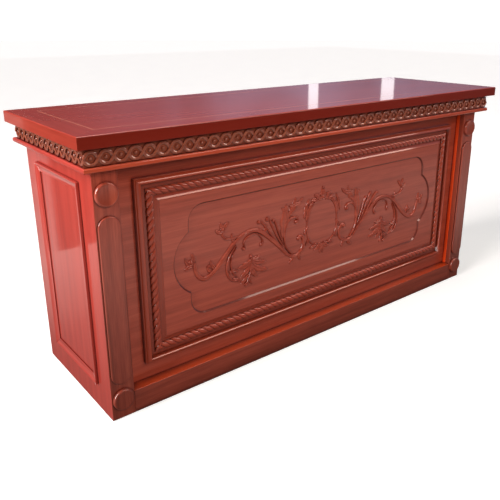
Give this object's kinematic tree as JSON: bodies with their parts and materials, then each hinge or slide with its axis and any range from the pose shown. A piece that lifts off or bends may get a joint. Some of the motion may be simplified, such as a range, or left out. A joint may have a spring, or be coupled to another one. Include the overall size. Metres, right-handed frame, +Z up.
{
  "type": "conference table",
  "caption": "Conference table with a framed top, carved guilloche frieze, pilasters with roundels, and a rope-framed carved panel on the front; shelf and knee space at the rear.",
  "frame": {"origin": "on the floor under the middle of the top", "axes": "+X along the table, -Y towards the carved front, +Y towards the side where people sit, +Z up"},
  "size_m": [1.6, 0.5, 0.76],
  "materials": {
    "solid_wood": "clear gloss lacquer over red-brown stain",
    "veneered_board": "clear gloss lacquer over red-brown stain",
    "carved_wood": "carved, stained and lacquered",
    "inner_board": "satin lacquer",
    "inlay_wood": "clear gloss lacquer",
    "glide_plastic": "moulded"
  },
  "bodies": {
    "root": {"carved_panel": "carved_wood", "corner_batten_left": "inner_board", "corner_batten_right": "inner_board", "floor_glides": "glide_plastic", "frame_bottom": "solid_wood", "frame_left": "solid_wood", "frame_right": "solid_wood", "frame_top": "solid_wood", "frieze_front": "solid_wood", "frieze_left": "solid_wood", "frieze_rear": "inner_board", "frieze_right": "solid_wood", "front_board": "veneered_board", "guilloche_front": "carved_wood", "guilloche_left": "carved_wood", "guilloche_right": "carved_wood", "ledge_front": "solid_wood", "ledge_left": "solid_wood", "ledge_rear": "solid_wood", "ledge_right": "solid_wood", "pilaster_left": "solid_wood", "pilaster_return_left": "veneered_board", "pilaster_return_right": "veneered_board", "pilaster_right": "solid_wood", "plaque_left": "carved_wood", "plaque_right": "carved_wood", "plinth_rail": "solid_wood", "rope_bottom": "carved_wood", "rope_left": "carved_wood", "rope_right": "carved_wood", "rope_top": "carved_wood", "roundels_left": "carved_wood", "roundels_right": "carved_wood", "shelf": "inner_board", "shelf_cleat_front": "inner_board", "shelf_cleat_left": "inner_board", "shelf_cleat_right": "inner_board", "shelf_divider": "inner_board", "side_moulding_left_bottom": "solid_wood", "side_moulding_left_front": "solid_wood", "side_moulding_left_rear": "solid_wood", "side_moulding_left_top": "solid_wood", "side_moulding_right_bottom": "solid_wood", "side_moulding_right_front": "solid_wood", "side_moulding_right_rear": "solid_wood", "side_moulding_right_top": "solid_wood", "side_panel_left": "veneered_board", "side_panel_right": "veneered_board", "sub_top": "inner_board", "top_border_front": "solid_wood", "top_border_left": "solid_wood", "top_border_rear": "solid_wood", "top_border_right": "solid_wood", "top_field": "veneered_board", "top_inlay": "inlay_wood"}
  },
  "joints": []
}
